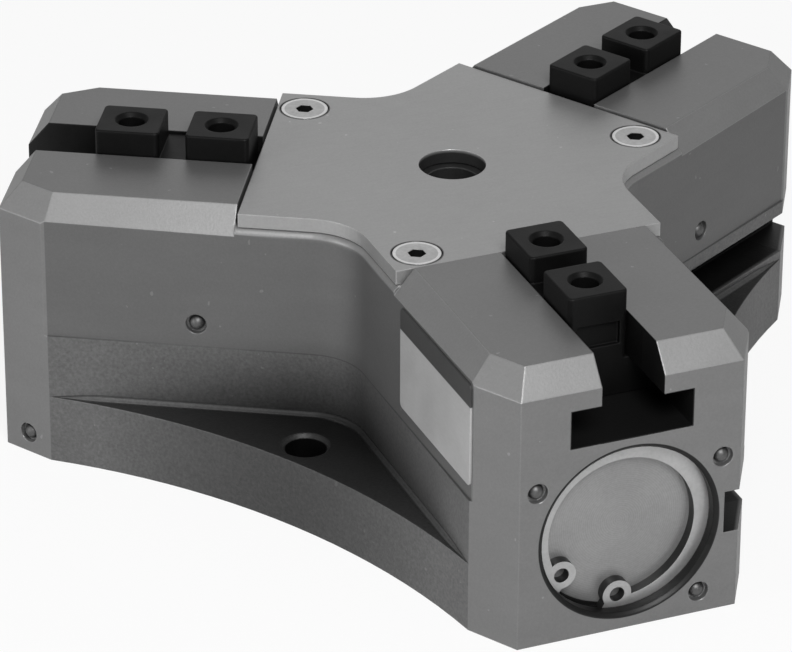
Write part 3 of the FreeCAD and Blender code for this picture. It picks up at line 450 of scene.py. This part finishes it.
def turned_finish(name, colour, centre, axis, pitch):
    """A turned face: fine rings about the axis of its arm's cylinder, with a painted highlight along its
    edges.
    """
    paint = Paint(name, Metallic=0.55)
    from_centre = paint.vector("SUBTRACT", paint.place(), centre)
    reach = paint.length(paint.vector("CROSS_PRODUCT", from_centre, axis))
    rings = (reach * (2 * math.pi / pitch)).sine()
    cloud = paint.noise(110.0, 4.0, 0.65)
    grain = paint.noise(2600.0, 2.0, 0.5)
    edge = paint.edges(0.3 * MM)
    # edge term: painted highlight along the edges
    tone = 0.85 + rings * 0.03 + (cloud - 0.5) * 0.4 + (grain - 0.5) * 0.2 + edge * 0.4
    paint.drive(
        Base_Color=paint.tinted(colour, tone),
        Roughness=0.4 + (cloud - 0.5) * 0.2,
        Normal=paint.relief(rings * 0.5 + grain, 0.015 * MM, 0.4, 0.2 * MM),
    )
    return paint.material


def moulded_finish(name, colour, roughness):
    """Rubber or moulded plastic with a fine matt skin."""
    paint = Paint(name)
    skin = paint.noise(1800.0, 2.0, 0.5)
    cloud = paint.noise(200.0, 3.0, 0.6)
    paint.drive(
        Base_Color=paint.tinted(colour, 0.85 + (cloud - 0.5) * 0.3 + (skin - 0.5) * 0.2),
        Roughness=roughness + (cloud - 0.5) * 0.15,
        Normal=paint.relief(skin, 0.02 * MM, 0.4, 0.15 * MM),
    )
    return paint.material


def plate_finish(silver, band):
    """A bare name plate: brushed silver under a dark band."""
    paint = Paint("bare_name_plate", Metallic=0.3)
    brushed = paint.noise(700.0, 2.0, 0.5, paint.stretched((1.0, 1.0, 12.0)))
    cloud = paint.noise(160.0, 3.0, 0.6)
    dark = paint.along("Z").above(BAND_FOOT * MM, 0.15 * MM)
    tone = 0.9 + (brushed - 0.5) * 0.2 + (cloud - 0.5) * 0.25
    paint.drive(
        Base_Color=paint.mix(dark, paint.tinted(silver, tone), paint.tinted(band, tone)),
        Roughness=0.38 + (cloud - 0.5) * 0.15 + dark * 0.1,
        Normal=paint.relief(brushed, 0.01 * MM, 0.3),
    )
    return paint.material


# Geometry

def on_arm(arm, along, side, up):
    """A point given in an arm's frame in millimetres, as a place in metres."""
    angle = math.radians(ARM_ANGLES[arm])
    c, s = math.cos(angle), math.sin(angle)
    return Vector((along * c - side * s, along * s + side * c, up)) * MM


def arm_axis(arm):
    angle = math.radians(ARM_ANGLES[arm])
    return Vector((math.cos(angle), math.sin(angle), 0.0))


def add_object(name, data):
    """Put a mesh, lamp or camera into the scene."""
    made = bpy.data.objects.new(name, data)
    bpy.context.scene.collection.objects.link(made)
    return made


def ring_faces(rings, count):
    """Faces of a closed skin over rings of points, with a cap on the first ring and the last."""
    faces = []
    for ring in range(rings - 1):
        first, second = ring * count, (ring + 1) * count
        for k in range(count):
            following = (k + 1) % count
            faces.append((first + k, first + following, second + following, second + k))
    return faces + [tuple(range(count)), tuple(range((rings - 1) * count, rings * count))]


def mesh_piece(name, vertices, faces, material, body, smooth_angle=40.0):
    """A smooth-shaded piece that rides on a body; its normals are turned outward."""
    mesh = bpy.data.meshes.new(name)
    mesh.from_pydata([tuple(v) for v in vertices], [], faces)
    piece = add_object(name, mesh)
    shell = bmesh.new()
    shell.from_mesh(mesh)
    bmesh.ops.recalc_face_normals(shell, faces=shell.faces)
    shell.to_mesh(mesh)
    shell.free()
    for face in mesh.polygons:
        face.use_smooth = True
    mesh.set_sharp_from_angle(angle=math.radians(smooth_angle))
    mesh.materials.append(material)
    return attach(piece, body)


def web_width(along):
    """Width of a web from an arm's side to its free edge, at a place along the arm."""
    corner_out = CORNER_ALONG * COS_60 + HALF_WIDTH * SIN_60
    corner_side = CORNER_ALONG * SIN_60 - HALF_WIDTH * COS_60
    rise = corner_out - WEB_REACH
    radius = (corner_side ** 2 + rise ** 2) / (2 * rise)
    centre_along = (WEB_REACH + radius) * COS_60
    centre_side = (WEB_REACH + radius) * SIN_60
    return centre_side - math.sqrt(max(radius ** 2 - (along - centre_along) ** 2, 0.0)) - HALF_WIDTH


def hollow_path(steps):
    """Foot of the wall around one web as (place, outward normal, room), from arm to arm, about +X."""
    hollow_centre = (HALF_WIDTH + HOLLOW_RADIUS) / SIN_60
    tangent = hollow_centre * COS_60
    start = CORNER_ALONG - 0.6
    wall = []
    for i in range(steps + 1):
        along = start - (start - tangent) * i / steps
        place = Vector((along * COS_60 + HALF_WIDTH * SIN_60, HALF_WIDTH * COS_60 - along * SIN_60))
        wall.append((place, Vector((SIN_60, COS_60)), web_width(along)))
    arc = []
    for i in range(1, steps):
        angle = math.radians(210 - 60 * i / steps)
        out = Vector((-math.cos(angle), -math.sin(angle)))
        arc.append((Vector((hollow_centre, 0.0)) - out * HOLLOW_RADIUS, out, HOLLOW_RADIUS))
    other = [(Vector((p.x, -p.y)), Vector((n.x, -n.y)), room) for p, n, room in reversed(wall)]
    return wall + arc + other


def add_web_fillets(material, radius):
    """The cast fillet where each web meets the walls of its two arms."""
    path = hollow_path(16)
    section = [(math.sin(t), math.cos(t)) for t in (math.radians(15 * k) for k in range(7))]
    for name, arm in (("ab", "c"), ("bc", "a"), ("ca", "b")):
        turn = math.radians(ARM_ANGLES[arm] + 180)
        vertices = []
        for place, out, room in path:
            r = min(radius, 0.7 * room)
            ring = [(r - r * s, r - r * c) for s, c in section] + [(-0.05, -0.05)]
            for offset, up in ring:
                flat = place + out * offset
                x = flat.x * math.cos(turn) - flat.y * math.sin(turn)
                y = flat.x * math.sin(turn) + flat.y * math.cos(turn)
                vertices.append(Vector((x, y, WEB_TOP + up)) * MM)
        faces = ring_faces(len(path), len(section) + 1)
        mesh_piece(f"web_fillet_{name}", vertices, faces, material, "body")


def add_name_plate(material, thickness):
    """A bare plate with rounded corners on arm a's left-hand side as seen from its end."""
    r = PLATE_CORNER
    (start, end), (low, high) = PLATE_ALONG, PLATE_UP
    outline = []
    for along, up, first in ((end - r, high - r, 0), (start + r, high - r, 90),
                             (start + r, low + r, 180), (end - r, low + r, 270)):
        for k in range(5):
            angle = math.radians(first + 22.5 * k)
            outline.append((along + r * math.cos(angle), up + r * math.sin(angle)))

    middle_along, middle_up = (start + end) / 2, (low + high) / 2
    half_length, half_height = PLATE_HALF_SIZE
    slope = math.tan(math.radians(WALL_LEAN))
    levels = ((0.0, 0.0), (thickness - PLATE_BEVEL, 0.0), (thickness, PLATE_BEVEL))
    vertices = []
    for lift, inset in levels:
        for along, up in outline:
            along = middle_along + (along - middle_along) * (1 - inset / half_length)
            up = middle_up + (up - middle_up) * (1 - inset / half_height)
            wall = HALF_WIDTH - (along - WALL_LEANS_FROM) * slope - PLATE_SUNK
            vertices.append(on_arm("a", along, -(wall + lift), up))
    faces = ring_faces(len(levels), len(outline))
    mesh_piece("name_plate", vertices, faces, material, "body", 30.0)


# Settings that a user may change

class ChuckFinishes(bpy.types.PropertyGroup):
    casting: FloatVectorProperty(name="Casting", description="Colour of the blasted casting",
                                 subtype="COLOR", size=3, default=grey(0.2))
    cover: FloatVectorProperty(name="Cover", description="Colour of the machined cover plate",
                               subtype="COLOR", size=3, default=grey(0.44))
    cap: FloatVectorProperty(name="End caps", description="Colour of the turned end caps",
                             subtype="COLOR", size=3, default=grey(0.34))
    steel: FloatVectorProperty(name="Steel", description="Colour of screws, balls and pins",
                               subtype="COLOR", size=3, default=grey(0.55))
    oxide: FloatVectorProperty(name="Blackened steel", description="Colour of the jaws and racks",
                               subtype="COLOR", size=3, default=grey(0.005))


class ChuckSizes(bpy.types.PropertyGroup):
    fillet: FloatProperty(name="Web fillet",
                          description="Radius of the cast fillet around each web, in millimetres",
                          default=0.9, min=0.2, max=3.0)
    plate: FloatProperty(name="Plate thickness", description="Thickness of the name plate, in millimetres",
                         default=0.35, min=0.1, max=1.0)
    lamp: FloatProperty(name="Lamp power", description="Power of the main lamp", subtype="POWER",
                        default=6.0, min=0.0)


def paint_nodes(material, *names):
    """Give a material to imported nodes."""
    for name in names:
        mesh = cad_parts[name].data
        mesh.materials.clear()
        mesh.materials.append(material)


def per_arm(*names):
    return [f"{name}_{arm}" for name in names for arm in ARM_ANGLES]


class CHUCK_OT_casting(bpy.types.Operator):
    """Finish the casting and add its web fillets"""
    bl_idname = "chuck.casting"
    bl_label = "Casting"

    def execute(self, context):
        material = cast_finish(context.scene.chuck_finishes.casting)
        paint_nodes(material, "body_casting")
        add_web_fillets(material, context.scene.chuck_sizes.fillet)
        return {"FINISHED"}


class CHUCK_OT_cover(bpy.types.Operator):
    """Finish the cover plate, its screws and the ball plugs"""
    bl_idname = "chuck.cover"
    bl_label = "Cover and screws"

    def execute(self, context):
        finishes = context.scene.chuck_finishes
        paint_nodes(cover_finish(finishes.cover), "cover_plate")
        paint_nodes(screw_finish(finishes.steel), "cover_screws")
        paint_nodes(steel_finish("sealing_balls", grey(0.16), 0.5), "ball_plugs")
        return {"FINISHED"}


class CHUCK_OT_caps(bpy.types.Operator):
    """Finish the end caps, their seals and retaining rings"""
    bl_idname = "chuck.caps"
    bl_label = "End caps"

    def execute(self, context):
        colour = context.scene.chuck_finishes.cap
        for arm in ARM_ANGLES:
            axis = arm_axis(arm)
            centre = on_arm(arm, 0.0, 0.0, BORE_UP)
            turned = turned_finish(f"turned_cap_{arm}", colour, centre, axis, 0.35 * MM)
            paint_nodes(turned, f"end_cap_{arm}")
            paint_nodes(ring_finish(f"spring_steel_{arm}", grey(0.5), axis), f"retaining_ring_{arm}")
        rubber = moulded_finish("seal_rubber", grey(0.02), 0.55)
        paint_nodes(rubber, "end_cap_seals", *per_arm("piston_seals"))
        return {"FINISHED"}


class CHUCK_OT_jaws(bpy.types.Operator):
    """Finish the jaws, racks, drive pins and rack screws"""
    bl_idname = "chuck.jaws"
    bl_label = "Jaws and racks"

    def execute(self, context):
        finishes = context.scene.chuck_finishes
        blackened = oxide_finish("blackened_steel", finishes.oxide)
        paint_nodes(blackened, *per_arm("jaw", "rack", "rack_screw"))
        paint_nodes(steel_finish("ground_pins", finishes.steel, 0.25), *per_arm("drive_pin"))
        paint_nodes(oxide_finish("phosphated_pinion", grey(0.03)), "pinion")
        return {"FINISHED"}


class CHUCK_OT_pistons(bpy.types.Operator):
    """Finish the pistons, their rings and the pinion's bushes"""
    bl_idname = "chuck.pistons"
    bl_label = "Pistons and bushes"

    def execute(self, context):
        colour = context.scene.chuck_finishes.cap
        paint_nodes(steel_finish("turned_piston", colour, 0.35), *per_arm("piston"))
        paint_nodes(steel_finish("bearing_bronze", (0.2, 0.14, 0.08), 0.45), "lower_bush", "upper_bush")
        paint_nodes(moulded_finish("guide_band_plastic", (0.5, 0.46, 0.38), 0.45), *per_arm("guide_band"))
        paint_nodes(moulded_finish("magnet_ring", grey(0.05), 0.5), *per_arm("magnet_ring"))
        return {"FINISHED"}


class CHUCK_OT_plate(bpy.types.Operator):
    """Add the bare name plate"""
    bl_idname = "chuck.plate"
    bl_label = "Name plate"

    def execute(self, context):
        material = plate_finish(grey(0.5), grey(0.05))
        add_name_plate(material, context.scene.chuck_sizes.plate)
        return {"FINISHED"}


def area_lamp(name, place, target, size, power):
    """A round lamp at a place, turned to a target."""
    data = bpy.data.lights.new(name, "AREA")
    data.shape = "DISK"
    data.size = size
    data.energy = power
    lamp = add_object(name, data)
    lamp.location = place
    lamp.rotation_euler = (Vector(target) - Vector(place)).to_track_quat("-Z", "Y").to_euler()


def add_camera():
    """The photograph's view: a long lens, from the front left and above."""
    azimuth = math.radians(CAMERA_AZIMUTH)
    elevation = math.radians(CAMERA_ELEVATION)
    roll = math.radians(CAMERA_ROLL)
    back = Vector((math.sin(azimuth) * math.cos(elevation), -math.cos(azimuth) * math.cos(elevation),
                   math.sin(elevation)))
    level = Vector((math.cos(azimuth), math.sin(azimuth), 0.0))
    above = back.cross(level)
    right = level * math.cos(roll) + above * math.sin(roll)
    up = above * math.cos(roll) - level * math.sin(roll)
    aside, higher, away = CAMERA_SHIFT
    place = (right * aside + up * higher + back * away) * HALF_WIDTH * MM
    data = bpy.data.cameras.new("camera")
    data.sensor_width = 36.0
    data.lens = FOCAL_PIXELS * data.sensor_width / PHOTO_WIDTH
    data.clip_end = 20.0
    camera = add_object("camera", data)
    camera.matrix_world = Matrix.Translation(place) @ Matrix((right, up, back)).transposed().to_4x4()
    bpy.context.scene.camera = camera


def add_floor():
    """A pale floor, seen by the camera as nearly white."""
    paint = Paint("pale_floor", Base_Color=grey(0.85), Roughness=0.8, Specular_IOR_Level=0.2)
    seen = paint.node("LightPath", output="Is Camera Ray")
    white = paint.node("Emission", {}, {"Color": grey(1.0), "Strength": 1.0})
    lit = Value(paint, paint.shader.outputs["BSDF"])
    shown = paint.node("MixShader", {}, {0: seen * 0.86, 1: lit, 2: white})
    paint.feed(paint.output.inputs["Surface"], shown)
    mesh = bpy.data.meshes.new("floor")
    size = FLOOR_HALF_SIZE
    corners = [(-size, -size, 0), (size, -size, 0), (size, size, 0), (-size, size, 0)]
    mesh.from_pydata(corners, [], [(0, 1, 2, 3)])
    mesh.materials.append(paint.material)
    add_object("floor", mesh)


def add_world():
    """Soft even light from all around, seen by the camera as white."""
    world = bpy.data.worlds.new("studio")
    world.use_nodes = True
    sky = Nodes(world.node_tree)
    seen = sky.node("LightPath", output="Is Camera Ray")
    soft = sky.node("Background", {}, {"Color": grey(1.0), "Strength": 0.3})
    white = sky.node("Background", {}, {"Color": grey(1.0), "Strength": 1.0})
    shown = sky.node("MixShader", {}, {0: seen, 1: soft, 2: white})
    sky.node("OutputWorld", {}, {"Surface": shown})
    bpy.context.scene.world = world


class CHUCK_OT_stage(bpy.types.Operator):
    """Add the floor, the lamps, the world and the camera"""
    bl_idname = "chuck.stage"
    bl_label = "Stage"

    def execute(self, context):
        add_floor()
        add_world()
        power = context.scene.chuck_sizes.lamp
        middle = (0.0, 0.0, 0.025)
        area_lamp("key_lamp", (-0.12, -0.62, 0.66), middle, 0.4, power)
        area_lamp("left_lamp", (-0.85, -0.1, 0.25), middle, 0.5, power * 0.3)
        area_lamp("back_lamp", (0.35, 0.85, 0.5), middle, 0.7, power * 0.1)
        add_camera()
        context.scene.view_settings.view_transform = "Standard"
        return {"FINISHED"}


OPERATORS = (CHUCK_OT_casting, CHUCK_OT_cover, CHUCK_OT_caps, CHUCK_OT_jaws, CHUCK_OT_pistons, CHUCK_OT_plate,
             CHUCK_OT_stage)


class CHUCK_PT_panel(bpy.types.Panel):
    """Settings and steps of the air chuck"""
    bl_idname = "CHUCK_PT_panel"
    bl_label = "Air chuck"
    bl_space_type = "VIEW_3D"
    bl_region_type = "UI"
    bl_category = "Air chuck"

    def draw(self, context):
        for group in (context.scene.chuck_finishes, context.scene.chuck_sizes):
            box = self.layout.box()
            for name in group.__annotations__:
                box.prop(group, name)
        for operator in OPERATORS:
            self.layout.operator(operator.bl_idname)


CLASSES = (ChuckFinishes, ChuckSizes, *OPERATORS, CHUCK_PT_panel)


def register():
    for item in CLASSES:
        bpy.utils.register_class(item)
    bpy.types.Scene.chuck_finishes = PointerProperty(type=ChuckFinishes)
    bpy.types.Scene.chuck_sizes = PointerProperty(type=ChuckSizes)


def unregister():
    del bpy.types.Scene.chuck_sizes
    del bpy.types.Scene.chuck_finishes
    for item in reversed(CLASSES):
        bpy.utils.unregister_class(item)


def main():
    register()
    for operator in OPERATORS:
        group, name = operator.bl_idname.split(".")
        getattr(getattr(bpy.ops, group), name)()


if __name__ == "__main__":
    main()
